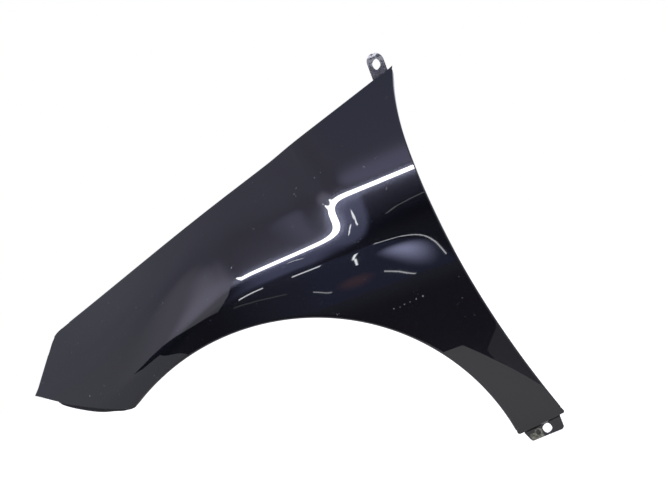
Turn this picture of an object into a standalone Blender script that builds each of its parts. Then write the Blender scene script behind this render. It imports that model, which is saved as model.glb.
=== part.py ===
"""Left front car fender, a single steel pressing with its cowl bracket and sill clip nut.

Metres.  +X runs to the car's rear, +Y inward to the engine bay, +Z up, as bolted on the car.
The outline and the surface are set out from the wheel centre.  The finished part is shifted so that
its origin lies on the underside of the middle bolt pad of the bonnet-side ledge.
"""
import math

import bpy
import bmesh
import numpy as np
from mathutils import Vector

# Sheet
SHEET = 0.0008
FOLD_RADIUS = 0.0025
CLEARANCE = 0.0003

# Wheel arch and sill edge; the sill edge runs from the arch to the door corner
ARCH_RADIUS = 0.3577
ARCH_FRONT_ANGLE = math.radians(123.4)
SILL_EDGE_HEIGHT = 0.0585
SILL_EDGE_LENGTH = 0.0801
SILL_EDGE_RISE = 0.0087

# Bumper edge from the arch to the nose tip, and headlamp edge with its rounded corner to the bonnet
BUMPER_EDGE_LENGTH = 0.1626
BUMPER_EDGE_RISE = 0.0699
BUMPER_EDGE_SAG = 0.0048
LAMP_EDGE_LENGTH = 0.0555
LAMP_CORNER_RADIUS = 0.045

# Bonnet edge: height over the arch's crown, slope and the radius of its slight curve
BONNET_ABOVE_CROWN = 0.1917
BONNET_SLOPE = 0.3238
BONNET_RADIUS = 26.18
BONNET_INSET = 0.0010
CORNER_RELIEF = 0.012

# Door edge: its waist, and how far it swings to the rear above and below the waist
WAIST_INSIDE_ARCH = 0.0135
WAIST_ABOVE_CROWN = 0.1423
TIP_OVERHANG = 0.0273
DOOR_LOWER_POWER = 1.8
DOOR_UPPER_POWER = 2.4

# Pressed surface
NOSE_START = 0.150
NOSE_RADIUS = 1.064
SHOULDER_ABOVE_CROWN = 0.0630
SHOULDER_RISE = 0.043
SHOULDER_FALL = 0.15
SHOULDER_FALL_START = 0.05
SHOULDER_FALL_REACH = 0.25
SHOULDER_SOFTNESS = 0.010
SIDE_LEAN = -0.03
SHELF_SLOPE_FRONT = 0.50
SHELF_SLOPE_REAR = 0.30
SHELF_CHANGE_X = 0.220
SHELF_CHANGE_LEAN = 0.37
SHELF_CHANGE_SOFTNESS = 0.0135
SHELF_WIDTH = 0.0825
TOP_SLOPE_ADDED = 0.376
TUCK_HEIGHT = 0.35
TUCK_RADIUS = 2.5

# Mesh of the skin
LAMP_COLUMNS = 7
BONNET_COLUMNS = 36
DOOR_COLUMNS = 22
ROWS = 20
LAMP_COLUMN_ANGLE = math.radians(116.5)
TIP_COLUMN_ANGLE = math.radians(60.0)

# Flanges
ARCH_LIP = 0.014
LAMP_FLANGE = 0.010
DOOR_FLANGE = 0.011
PILLAR_TAB = 0.015
PILLAR_TAB_ABOVE_WAIST = 0.045
PILLAR_TAB_HALF_LENGTH = 0.032
LEDGE_DROP = 0.030
LEDGE_WIDTH = 0.013
LEDGE_PAD = 0.010
LEDGE_PAD_HALF_LENGTH = 0.038
LEDGE_BEND = 0.0022
LEDGE_BOLTS_FROM_LAMP = (0.0890, 0.2690)
LEDGE_BOLTS_FROM_TIP = (0.2265, 0.0815)
LEDGE_WALL_LEAN = 0.07
LEDGE_SEAT_OFFSET = 0.014
BUMPER_JOGGLE = 0.0025
BUMPER_DROP = 0.0062
BUMPER_RETURN = 0.012

# Sill tab and its hole, measured from the corner of the arch and the sill edge
TAB_FRONT = 0.0096
TAB_REAR = 0.0711
TAB_FRONT_BOTTOM = 0.0156
TAB_DEPTH = 0.0157
TAB_BOTTOM_SLOPE = 0.06
TAB_CORNER = 0.0050
TAB_JOGGLE = 0.0028
TAB_SET_IN = 0.0040
TAB_HOLE_BEHIND = 0.0460
TAB_HOLE_BELOW = 0.0054
TAB_HOLE_SIZE = (0.0152, 0.0152)

# Bolt and clip holes
LEDGE_HOLE = 0.0090
LEDGE_SLOT = 0.0060
PILLAR_HOLE = 0.0090
LIP_HOLE = 0.0070
LIP_HOLE_ANGLES = (112.0, 88.0, 60.0, 30.0)
TAB_SCREW_HOLE = 0.0090
CUTTER_LENGTH = 0.012

# Cowl bracket, measured from the rear tip and from the bonnet edge
BRACKET_SHEET = 0.0015
BRACKET_WIDTH = 0.028
BRACKET_AHEAD_OF_TIP = 0.0230
BRACKET_RISE = 0.0374
BRACKET_EYE_DROP = 0.0188
BRACKET_HOLE_SIZE = (0.0138, 0.0182)
BRACKET_FOOT = 0.019
BRACKET_BEND_ABOVE_EDGE = 0.0055
BRACKET_STEP = 0.0030
BRACKET_STEP_RISE = 0.0040

# Sill clip nut, measured from the corner of the arch and the sill edge
CLIP_SHEET = 0.0008
CLIP_WIDTH = 0.0210
CLIP_FRONT = 0.0166
CLIP_TOP_BELOW = 0.0060
CLIP_SCREW_BEHIND = 0.0306
CLIP_SCREW_BELOW = 0.0073
CLIP_DOME_RADIUS = 0.0066
CLIP_SCREW_HOLE = 0.0080
CLIP_BOSS_DIAMETER = 0.0080
CLIP_BOSS_LENGTH = 0.0050
CLIP_BORE = 0.0052

# Holes tilt with the resting attitude of the pressing
HOLE_TILT = math.radians(20.0)
HOLE_ROUNDNESS = 1.6

# Places that follow from the sizes, in side view from the wheel centre
BONNET_HEIGHT = ARCH_RADIUS + BONNET_ABOVE_CROWN
SHOULDER_HEIGHT = ARCH_RADIUS + SHOULDER_ABOVE_CROWN
WAIST_X = ARCH_RADIUS - WAIST_INSIDE_ARCH
WAIST_HEIGHT = ARCH_RADIUS + WAIST_ABOVE_CROWN
REAR_TIP_X = WAIST_X + TIP_OVERHANG
SILL_CORNER = (math.sqrt(ARCH_RADIUS ** 2 - SILL_EDGE_HEIGHT ** 2), SILL_EDGE_HEIGHT)
DOOR_CORNER = (SILL_CORNER[0] + SILL_EDGE_LENGTH, SILL_CORNER[1] + SILL_EDGE_RISE)
NOSE_TIP = (ARCH_RADIUS * math.cos(ARCH_FRONT_ANGLE) - BUMPER_EDGE_LENGTH,
            ARCH_RADIUS * math.sin(ARCH_FRONT_ANGLE) + BUMPER_EDGE_RISE)
LAMP_CORNER_X = NOSE_TIP[0] + LAMP_EDGE_LENGTH
LEDGE_BOLT_X = (*(LAMP_CORNER_X + distance for distance in LEDGE_BOLTS_FROM_LAMP),
                *(REAR_TIP_X - distance for distance in LEDGE_BOLTS_FROM_TIP))
PILLAR_TAB_HEIGHT = WAIST_HEIGHT + PILLAR_TAB_ABOVE_WAIST
TAB_FRONT_BOTTOM_X = SILL_CORNER[0] + TAB_FRONT_BOTTOM
TAB_REAR_X = SILL_CORNER[0] + TAB_REAR
TAB_HOLE = (SILL_CORNER[0] + TAB_HOLE_BEHIND, SILL_CORNER[1] - TAB_HOLE_BELOW)
CLIP_SCREW = (SILL_CORNER[0] + CLIP_SCREW_BEHIND, SILL_CORNER[1] - CLIP_SCREW_BELOW)
BRACKET_CENTRE_X = REAR_TIP_X - BRACKET_AHEAD_OF_TIP


def soft_ramp(distance, softness):
    """Zero below the bend and a straight ramp above it, rounded over the softness."""
    return softness * np.logaddexp(0.0, distance / softness)


def soft_step(distance, softness):
    """Zero far below and one far above, the slope of the soft ramp."""
    return 1.0 / (1.0 + np.exp(-np.clip(distance / softness, -50.0, 50.0)))


def shoulder_height(x):
    """Height of the shoulder: a gentle rise to the rear and a rounded fall to the nose."""
    ahead = np.maximum(SHOULDER_FALL_START - x, 0.0)
    fall = SHOULDER_FALL * (1.0 - np.exp(-(ahead / SHOULDER_FALL_REACH) ** 2))
    return SHOULDER_HEIGHT + SHOULDER_RISE * np.maximum(x, 0.0) - fall


def depth(x, z):
    """Inward depth of the outer face: nose curvature, shoulder with its two bends, and lower tuck."""
    nose = 0.5 * np.maximum(NOSE_START - x, 0.0) ** 2 / NOSE_RADIUS
    above = z - shoulder_height(x)
    change = soft_step(x - SHELF_CHANGE_X + SHELF_CHANGE_LEAN * above, SHELF_CHANGE_SOFTNESS)
    shelf = SHELF_SLOPE_FRONT + (SHELF_SLOPE_REAR - SHELF_SLOPE_FRONT) * change
    shoulder = SIDE_LEAN * above + shelf * soft_ramp(above, SHOULDER_SOFTNESS)
    shoulder += TOP_SLOPE_ADDED * soft_ramp(above - SHELF_WIDTH, SHOULDER_SOFTNESS)
    tuck = 0.5 * np.maximum(TUCK_HEIGHT - z, 0.0) ** 2 / TUCK_RADIUS
    return nose + shoulder + tuck


def surface_normal(x, z):
    """Unit normal of the outer face, looking out of the car."""
    step = 1e-5
    slope_x = (depth(x + step, z) - depth(x - step, z)) / (2 * step)
    slope_z = (depth(x, z + step) - depth(x, z - step)) / (2 * step)
    normal = np.stack([slope_x, -np.ones_like(slope_x), slope_z], axis=-1)
    return normal / np.linalg.norm(normal, axis=-1, keepdims=True)


def bonnet_edge_height(x):
    """Height of the bonnet edge, a very flat parabola."""
    return BONNET_HEIGHT + BONNET_SLOPE * x + 0.5 * x * x / BONNET_RADIUS


def door_edge_x(z):
    """The door edge: a power curve above and another below its waist."""
    tip_rise = bonnet_edge_height(REAR_TIP_X) - WAIST_HEIGHT
    upper = (REAR_TIP_X - WAIST_X) * (np.maximum(z - WAIST_HEIGHT, 0.0) / tip_rise) ** DOOR_UPPER_POWER
    drop = WAIST_HEIGHT - DOOR_CORNER[1]
    lower = (DOOR_CORNER[0] - WAIST_X) * (np.maximum(WAIST_HEIGHT - z, 0.0) / drop) ** DOOR_LOWER_POWER
    return WAIST_X + upper + lower


def arch_point(angle, radius=ARCH_RADIUS):
    """Point of the wheel arch in side view."""
    return np.stack([radius * np.cos(angle), radius * np.sin(angle)], axis=-1)


def rounded_corner(start, corner, end, radius, count):
    """Arc that joins two straight runs at a corner."""
    start, corner, end = (np.asarray(point) for point in (start, corner, end))
    back = (start - corner) / np.linalg.norm(start - corner)
    ahead = (end - corner) / np.linalg.norm(end - corner)
    half = 0.5 * math.acos(float(np.clip(back @ ahead, -1, 1)))
    bisector = (back + ahead) / np.linalg.norm(back + ahead)
    centre = corner + bisector * radius / math.sin(half)
    first = corner + back * radius / math.tan(half) - centre
    last = corner + ahead * radius / math.tan(half) - centre
    turn = math.atan2(first[0] * last[1] - first[1] * last[0], first @ last)
    angles = np.linspace(0.0, turn, count)
    cos, sin = np.cos(angles), np.sin(angles)
    return centre + np.stack([first[0] * cos - first[1] * sin, first[0] * sin + first[1] * cos], axis=-1)


def outline():
    """Arch, bumper edge, headlamp and bonnet edge, door edge and sill edge as runs of points in side view."""
    sill_front = np.array(SILL_CORNER)
    bumper_rear = arch_point(np.array(ARCH_FRONT_ANGLE))
    tip = np.array(NOSE_TIP)
    run = np.linspace(0.0, 1.0, 61)[:, None]
    bumper = bumper_rear + (tip - bumper_rear) * run
    bumper[:, 1] -= 4 * BUMPER_EDGE_SAG * (run * (1 - run))[:, 0]
    corner = np.array([LAMP_CORNER_X, bonnet_edge_height(LAMP_CORNER_X)])
    ahead = np.array([0.0, bonnet_edge_height(0.0)])
    bend = rounded_corner(tip, corner, ahead, LAMP_CORNER_RADIUS, 21)
    lamp = tip + (bend[0] - tip) * np.linspace(0.0, 1.0, 40, endpoint=False)[:, None]
    x = np.linspace(bend[-1, 0], REAR_TIP_X, 300)[1:]
    bonnet = np.stack([x, bonnet_edge_height(x)], axis=-1)
    z = np.linspace(bonnet_edge_height(REAR_TIP_X), DOOR_CORNER[1], 300)
    door = np.stack([door_edge_x(z), z], axis=-1)
    door[0] = bonnet[-1]
    sill = sill_front + (np.array(DOOR_CORNER) - sill_front) * run
    arch = arch_point(np.linspace(ARCH_FRONT_ANGLE, math.atan2(*SILL_CORNER[::-1]), 300))
    return arch, bumper, np.vstack([lamp, bend, bonnet]), door, sill


def outward(points, inside):
    """Unit normals of a run of points in side view, away from the inside point."""
    along = np.gradient(points, axis=0)
    normals = np.stack([along[:, 1], -along[:, 0]], axis=-1)
    normals /= np.linalg.norm(normals, axis=-1, keepdims=True)
    middle = len(points) // 2
    if (points[middle] - inside) @ normals[middle] < 0:
        normals = -normals
    return normals


def folded_in(points, inside, inset):
    """A run of edge points set in for a fold, and back on the outline at both of its corners."""
    lengths = np.linalg.norm(np.diff(points, axis=0), axis=-1)
    travelled = np.concatenate([[0.0], np.cumsum(lengths)])
    from_corner = np.minimum(travelled, travelled[-1] - travelled)
    taper = np.clip(from_corner / CORNER_RELIEF, 0.0, 1.0)
    return points - outward(points, inside) * (inset * taper)[:, None]


def spaced(points, count):
    """The run of points, spaced evenly along its length."""
    lengths = np.linalg.norm(np.diff(points, axis=0), axis=-1)
    travelled = np.concatenate([[0.0], np.cumsum(lengths)])
    wanted = np.linspace(0.0, travelled[-1], count + 1)
    return np.stack([np.interp(wanted, travelled, points[:, axis]) for axis in range(2)], axis=-1)


def skin_grid():
    """Side-view grid of the skin, blended from its four sides, a fold radius inside the folded edges."""
    arch, bumper, front, door, sill = outline()
    inside = np.array([0.0, 0.5 * (ARCH_RADIUS + BONNET_HEIGHT)])
    front_inset = np.where(front[:, 0] < LAMP_CORNER_X, FOLD_RADIUS, BONNET_INSET)
    bumper_in, front_in, door_in = (folded_in(points, inside, inset) for points, inset in
                                    ((bumper, FOLD_RADIUS), (front, front_inset), (door, FOLD_RADIUS)))

    corner = np.argmin(np.abs(front_in[:, 0] - LAMP_CORNER_X))
    top = np.vstack([spaced(front_in[:corner + 1], LAMP_COLUMNS),
                     spaced(front_in[corner:], BONNET_COLUMNS)[1:],
                     spaced(door_in, DOOR_COLUMNS)[1:]])
    last = math.atan2(arch[-1, 1], arch[-1, 0])
    angles = np.concatenate([np.linspace(ARCH_FRONT_ANGLE, LAMP_COLUMN_ANGLE, LAMP_COLUMNS + 1),
                             np.linspace(LAMP_COLUMN_ANGLE, TIP_COLUMN_ANGLE, BONNET_COLUMNS + 1)[1:],
                             np.linspace(TIP_COLUMN_ANGLE, last, DOOR_COLUMNS + 1)[1:]])
    low = folded_in(arch_point(angles), inside, FOLD_RADIUS)
    west, east = spaced(bumper_in, ROWS), spaced(sill, ROWS)

    u = np.linspace(0.0, 1.0, len(top))[:, None, None]
    v = np.linspace(0.0, 1.0, ROWS + 1)[None, :, None]
    grid = (1 - v) * low[:, None] + v * top[:, None] + (1 - u) * west[None] + u * east[None]
    grid -= (1 - u) * ((1 - v) * low[0] + v * top[0]) + u * ((1 - v) * low[-1] + v * top[-1])
    return grid


def edge_frame(place, normal, centre):
    """Outward direction in the sheet along a run of edge points."""
    along = np.gradient(place, axis=0)
    out = np.cross(along, normal)
    out /= np.linalg.norm(out, axis=-1, keepdims=True)
    middle = len(place) // 2
    if out[middle] @ (place[middle] - centre) < 0:
        out = -out
    return out


class Pressing:
    """Points and faces of the sheet's outer face while flanges are folded on to its edges."""

    def __init__(self, grid):
        columns, rows = grid.shape[:2]
        x, z = grid[..., 0], grid[..., 1]
        self.points = [np.stack([x, depth(x, z), z], axis=-1).reshape(-1, 3)]
        self.normals = surface_normal(x, z).reshape(-1, 3)
        self.count = columns * rows
        index = np.arange(self.count).reshape(columns, rows)
        self.index = index
        quads = np.stack([index[:-1, :-1], index[1:, :-1], index[1:, 1:], index[:-1, 1:]], axis=-1)
        self.faces = [tuple(quad) for quad in quads.reshape(-1, 4)]

    def frame(self, border):
        """Place, outward direction in the sheet, and normal along a run of border points."""
        place = self.points[0][border]
        normal = self.normals[border]
        return place, edge_frame(place, normal, self.points[0].mean(axis=0)), normal

    def add_rows(self, border, rows):
        """Join further rows of points to a border, row by row."""
        previous = np.asarray(border)
        for row in rows:
            self.points.append(np.asarray(row))
            current = np.arange(self.count, self.count + len(row))
            self.count += len(row)
            for i in range(len(row) - 1):
                self.faces.append((previous[i], previous[i + 1], current[i + 1], current[i]))
            previous = current

    def fold(self, border, width, square_to_car=False):
        """A right-angled flange: a bend of the fold radius, then a straight run of the given width."""
        place, out, normal = self.frame(border)
        if square_to_car:
            normal = np.array([0.0, -1.0, 0.0]) + out * out[:, 1:2]
            normal /= np.linalg.norm(normal, axis=-1, keepdims=True)
        width = np.broadcast_to(width, (len(border),))[:, None]
        rows = [place + FOLD_RADIUS * (out * math.sin(angle) - normal * (1 - math.cos(angle)))
                for angle in (math.pi / 4, math.pi / 2)]
        rows.append(rows[-1] + (np.array([0.0, 1.0, 0.0]) if square_to_car else -normal) * width)
        self.add_rows(border, rows)


def bump(distance, half_length):
    """One at the middle, falling smoothly to zero at the half length."""
    return np.where(np.abs(distance) < half_length, 0.5 + 0.5 * np.cos(math.pi * distance / half_length), 0.0)


def ledge_height(x):
    """The bolting ledge lies in one plane below the bonnet edge."""
    return bonnet_edge_height(0.0) - LEDGE_DROP + BONNET_SLOPE * x


def bonnet_bend(place, out, normal):
    """The tight bend from the skin into the bonnet gap, row by row; the last row tops the wall."""
    lean = np.arctan2(out[:, 1], out[:, 2])
    turn = (math.pi - math.atan(LEDGE_WALL_LEAN) - lean)[:, None]
    return [place + FOLD_RADIUS * (out * np.sin(share * turn) - normal * (1 - np.cos(share * turn)))
            for share in (0.25, 0.5, 0.75, 1.0)]


def wall_top(x):
    """Top of the bonnet gap's wall at places along the car."""
    z = bonnet_edge_height(x) - BONNET_INSET * math.hypot(1.0, BONNET_SLOPE)
    place = np.stack([x, depth(x, z), z], axis=-1)
    normal = surface_normal(x, z)
    return bonnet_bend(place, edge_frame(place, normal, place.mean(axis=0) - (0, 0, 1)), normal)[-1]


def ledge_width(x):
    """Width of the flat ledge: narrow between the bolts and wider at each bolt pad."""
    return LEDGE_WIDTH + sum(LEDGE_PAD * bump(x - bolt, LEDGE_PAD_HALF_LENGTH) for bolt in LEDGE_BOLT_X)


def ledge_point(x, share=0.5):
    """Point on the outer face of the ledge, a share of its width in from the wall."""
    around = x + np.array([-0.01, 0.0, 0.01])
    top = wall_top(around)
    at = np.array([np.interp(x, top[:, 0], top[:, axis]) for axis in range(3)])
    inner = at[1] + LEDGE_WALL_LEAN * (at[2] - ledge_height(x)) + LEDGE_BEND
    return Vector((x, float(inner + share * ledge_width(np.array(x))), float(ledge_height(x))))


def add_bonnet_flange(pressing):
    """Bonnet gap: a tight bend, a wall that drops to the ledge, and the ledge with its bolt pads."""
    border = pressing.index[LAMP_COLUMNS + 2:LAMP_COLUMNS + BONNET_COLUMNS, -1]
    rows = bonnet_bend(*pressing.frame(border))
    x, y, z = rows[-1].T
    floor = ledge_height(x)
    foot = y + LEDGE_WALL_LEAN * (z - floor)
    for angle in (0.0, math.pi / 4, math.pi / 2):
        rise = LEDGE_BEND * (1 - math.sin(angle))
        rows.append(np.stack([x, foot + LEDGE_BEND * (1 - math.cos(angle)), floor + rise], axis=-1))
    rows.append(rows[-1] + np.stack([0 * x, ledge_width(x), 0 * x], axis=-1))
    pressing.add_rows(border, rows)


def add_door_flange(pressing):
    """Door shut: a right-angled return with one wider tab for the pillar bolt."""
    first = LAMP_COLUMNS + BONNET_COLUMNS + 1
    border = pressing.index[first:-2, -1]
    height = pressing.points[0][border][:, 2]
    width = DOOR_FLANGE + PILLAR_TAB * bump(height - PILLAR_TAB_HEIGHT, PILLAR_TAB_HALF_LENGTH)
    pressing.fold(border, width)


def add_bumper_flange(pressing):
    """Bumper edge: a joggled strip that shows below the edge, then a return for the bumper clips."""
    border = pressing.index[0, 2:13]
    place, out, normal = pressing.frame(border)
    share = np.linspace(0.0, 1.0, len(border))
    deep = 0.6 + 0.4 * soft_step(share - 0.35, 0.05)
    drop = (BUMPER_DROP * deep * np.sqrt(1.0 - share ** 4))[:, None]
    joggle = place + out * (FOLD_RADIUS + 0.2 * BUMPER_JOGGLE) - normal * BUMPER_JOGGLE
    bottom = joggle + out * drop - normal * 0.25 * BUMPER_DROP
    back = bottom + out * 0.3 * FOLD_RADIUS - normal * FOLD_RADIUS
    pressing.add_rows(border, [joggle, bottom, back, back - normal * BUMPER_RETURN])


def tab_bottom(x):
    """Lower edge of the sill tab, with its two rounded corners."""
    from_end = np.minimum(x - TAB_FRONT_BOTTOM_X, TAB_REAR_X - x)
    inset = np.clip(TAB_CORNER - from_end, 0.0, TAB_CORNER)
    rounding = TAB_CORNER - np.sqrt(TAB_CORNER ** 2 - inset ** 2)
    return SILL_EDGE_HEIGHT - TAB_DEPTH + TAB_BOTTOM_SLOPE * (x - TAB_FRONT_BOTTOM_X) + rounding


def tab_plane():
    """Inward place of the sill tab's outer face, set in from the skin at the middle of the sill edge."""
    middle = 0.5 * (np.array(SILL_CORNER) + np.array(DOOR_CORNER))
    return float(depth(*middle)) + TAB_SET_IN


def add_sill_tab(pressing):
    """Sill edge: a flat tab, set in by a joggle, that the sill bolt passes through."""
    border_x = pressing.points[0][pressing.index[-1]][:, 0]
    border = pressing.index[-1][(border_x > SILL_CORNER[0] + TAB_FRONT) & (border_x < TAB_REAR_X)]
    place = pressing.points[0][border]
    share = (place[:, 0] - place[0, 0]) / (place[-1, 0] - place[0, 0])
    x = TAB_FRONT_BOTTOM_X + share * (TAB_REAR_X - TAB_FRONT_BOTTOM_X)
    plane = np.full_like(x, tab_plane())
    edge = np.stack([place[:, 0], 0.5 * (place[:, 1] + plane), place[:, 2] - 0.5 * TAB_JOGGLE], axis=-1)
    top = np.stack([place[:, 0], plane, place[:, 2] - TAB_JOGGLE], axis=-1)
    pressing.add_rows(border, [edge, top, np.stack([x, plane, tab_bottom(x)], axis=-1)])


def new_material(name, colour, roughness, metallic, coat=0.0):
    material = bpy.data.materials.new(name)
    material.use_nodes = True
    shader = material.node_tree.nodes["Principled BSDF"]
    shader.inputs["Base Color"].default_value = (*colour, 1.0)
    shader.inputs["Roughness"].default_value = roughness
    shader.inputs["Metallic"].default_value = metallic
    shader.inputs["Coat Weight"].default_value = coat
    return material


def new_object(name, points, faces, material, parent, facing=None):
    """An object from points and faces; an open sheet's faces are turned to agree and to look one way."""
    mesh = bpy.data.meshes.new(name)
    mesh.from_pydata([tuple(map(float, point)) for point in points], [], [tuple(map(int, face)) for face in faces])
    work = bmesh.new()
    work.from_mesh(mesh)
    bmesh.ops.recalc_face_normals(work, faces=work.faces)
    if facing:
        work.normal_update()
        if sum((face.normal * face.calc_area() for face in work.faces), Vector()).dot(Vector(facing)) < 0:
            bmesh.ops.reverse_faces(work, faces=work.faces)
    work.to_mesh(mesh)
    work.free()
    obj = bpy.data.objects.new(name, mesh)
    bpy.context.scene.collection.objects.link(obj)
    obj.parent = parent
    if material:
        mesh.materials.append(material)
    return obj


def hole_outline(width, height, count=24):
    """A hole between an oval and a diamond, tilted as the pressing stands."""
    angle = np.linspace(0.0, 2 * math.pi, count, endpoint=False)
    power = 2.0 / HOLE_ROUNDNESS
    across = 0.5 * width * np.sign(np.cos(angle)) * np.abs(np.cos(angle)) ** power
    up = 0.5 * height * np.sign(np.sin(angle)) * np.abs(np.sin(angle)) ** power
    cos, sin = math.cos(-HOLE_TILT), math.sin(-HOLE_TILT)
    return np.stack([across * cos - up * sin, across * sin + up * cos], axis=-1)


def round_outline(diameter, slot=0.0, count=20):
    """A round hole, or a slot lengthened along its first axis."""
    angle = np.linspace(0.0, 2 * math.pi, count, endpoint=False) + math.pi / count
    shift = 0.5 * slot * np.sign(np.cos(angle))
    return 0.5 * diameter * np.stack([np.cos(angle), np.sin(angle)], axis=-1) + np.stack([shift, 0 * shift], axis=-1)


def prism(outline_points, centre, first, second, length):
    """Points and faces of a straight-sided plug about the centre, spanned by two directions."""
    first, second = Vector(first).normalized(), Vector(second).normalized()
    axis = first.cross(second)
    count = len(outline_points)
    points = []
    for end in (-0.5 * length, 0.5 * length):
        points += [Vector(centre) + first * a + second * b + axis * end for a, b in outline_points]
    faces = [tuple(range(count))[::-1], tuple(range(count, 2 * count))]
    faces += [(i, (i + 1) % count, count + (i + 1) % count, count + i) for i in range(count)]
    return points, faces


def cutter(name, plugs, parent):
    """One hidden cutting object from a list of plugs."""
    points, faces = [], []
    for plug_points, plug_faces in plugs:
        faces += [tuple(i + len(points) for i in face) for face in plug_faces]
        points += plug_points
    obj = new_object(name, points, faces, None, parent)
    obj.hide_render = True
    obj.display_type = "WIRE"
    return obj


def cut(obj, tool):
    modifier = obj.modifiers.new(tool.name, "BOOLEAN")
    modifier.operation = "DIFFERENCE"
    modifier.solver = "EXACT"
    modifier.object = tool


def sheet_modifier(obj, thickness):
    """Gives a sheet its thickness, away from the side that its faces look to."""
    wall = obj.modifiers.new("sheet", "SOLIDIFY")
    wall.thickness = thickness
    wall.offset = -1.0
    wall.use_even_offset = True


def build_panel(material, parent):
    """The pressing: skin, folded edges, ledge, joggled strip and sill tab, then its holes."""
    pressing = Pressing(skin_grid())
    add_bonnet_flange(pressing)
    add_door_flange(pressing)
    add_bumper_flange(pressing)
    add_sill_tab(pressing)
    pressing.fold(pressing.index[1:-1, 0], ARCH_LIP, square_to_car=True)
    pressing.fold(pressing.index[1:LAMP_COLUMNS - 1, -1], LAMP_FLANGE)
    panel = new_object("fender_panel", np.vstack(pressing.points), pressing.faces, material, parent, (0, -1, 0))
    panel.data.shade_smooth()
    panel.data.set_sharp_from_angle(angle=math.radians(40))
    sheet_modifier(panel, SHEET)

    along = Vector((1.0, 0.0, BONNET_SLOPE))
    slots = [LEDGE_SLOT if i % 2 else 0.0 for i in range(len(LEDGE_BOLT_X))]
    plugs = [prism(round_outline(LEDGE_HOLE, slot), ledge_point(x), along, (0, 1, 0), CUTTER_LENGTH)
             for x, slot in zip(LEDGE_BOLT_X, slots)]
    cut(panel, cutter("ledge_holes", plugs, parent))

    tab_plugs = [prism(outline_points, (x, tab_plane(), z), (1, 0, 0), (0, 0, 1), CUTTER_LENGTH)
                 for (x, z), outline_points in ((TAB_HOLE, hole_outline(*TAB_HOLE_SIZE)),
                                                (CLIP_SCREW, round_outline(TAB_SCREW_HOLE)))]
    cut(panel, cutter("sill_holes", tab_plugs, parent))

    lip = []
    for degrees in LIP_HOLE_ANGLES:
        x, z = arch_point(np.array(math.radians(degrees)))
        inward = float(depth(x, z)) + FOLD_RADIUS + 0.5 * ARCH_LIP
        tangent = Vector((-z, 0.0, x)).normalized()
        lip.append(prism(round_outline(LIP_HOLE, count=12), (x, inward, z), tangent, (0, 1, 0), CUTTER_LENGTH))
    cut(panel, cutter("lip_holes", lip, parent))

    edge_x = float(door_edge_x(np.array(PILLAR_TAB_HEIGHT)))
    normal = Vector(surface_normal(np.array(edge_x), np.array(PILLAR_TAB_HEIGHT)))
    edge = Vector((edge_x, float(depth(edge_x, PILLAR_TAB_HEIGHT)), PILLAR_TAB_HEIGHT))
    centre = edge - normal * (FOLD_RADIUS + 0.62 * (DOOR_FLANGE + PILLAR_TAB))
    up = Vector((0, 0, 1)) - normal * normal.z
    cut(panel, cutter("pillar_hole", [prism(round_outline(PILLAR_HOLE), centre, up, normal, CUTTER_LENGTH)], parent))
    return panel


def build_bracket(material, parent):
    """Cowl bracket: a stepped strip on the back of the bonnet wall, with a rounded eye above the edge."""
    half = 0.5 * BRACKET_WIDTH
    across = np.linspace(-half, half, 9)
    top = wall_top(BRACKET_CENTRE_X + across)
    slope = (top[-1, 1] - top[0, 1]) / (top[-1, 0] - top[0, 0])
    seat = top[4, 1] + (SHEET + CLEARANCE) * math.sqrt(1 + slope ** 2 + LEDGE_WALL_LEAN ** 2)
    edge = float(bonnet_edge_height(BRACKET_CENTRE_X))
    bend = edge + BRACKET_BEND_ABOVE_EDGE
    eye = edge + BRACKET_RISE - half
    lean = [LEDGE_WALL_LEAN * (top[4, 2] - z) for z in (edge - BRACKET_FOOT, bend)]
    profile = [(edge - BRACKET_FOOT, lean[0], 1.0), (bend, lean[1], 1.0),
               (bend + BRACKET_STEP_RISE, lean[1] + BRACKET_STEP, 1.0)]
    profile += [(eye + half * math.sin(angle), lean[1] + BRACKET_STEP, math.cos(angle))
                for angle in np.linspace(0.0, 0.5 * math.pi, 7)[:-1]]
    points = [(BRACKET_CENTRE_X + side * width, seat + shift + slope * side * width, z)
              for z, shift, width in profile for side in across]
    count = len(across)
    faces = [(r * count + i, r * count + i + 1, (r + 1) * count + i + 1, (r + 1) * count + i)
             for r in range(len(profile) - 1) for i in range(count - 1)]
    bracket = new_object("cowl_bracket", points, faces, material, parent, (0, -1, 0))
    sheet_modifier(bracket, BRACKET_SHEET)
    centre = (BRACKET_CENTRE_X, seat + lean[1] + BRACKET_STEP, edge + BRACKET_RISE - BRACKET_EYE_DROP)
    plug = prism(hole_outline(*BRACKET_HOLE_SIZE), centre, (1, slope, 0), (0, 0, 1), CUTTER_LENGTH)
    cut(bracket, cutter("eye_hole", [plug], parent))
    return bracket


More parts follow.
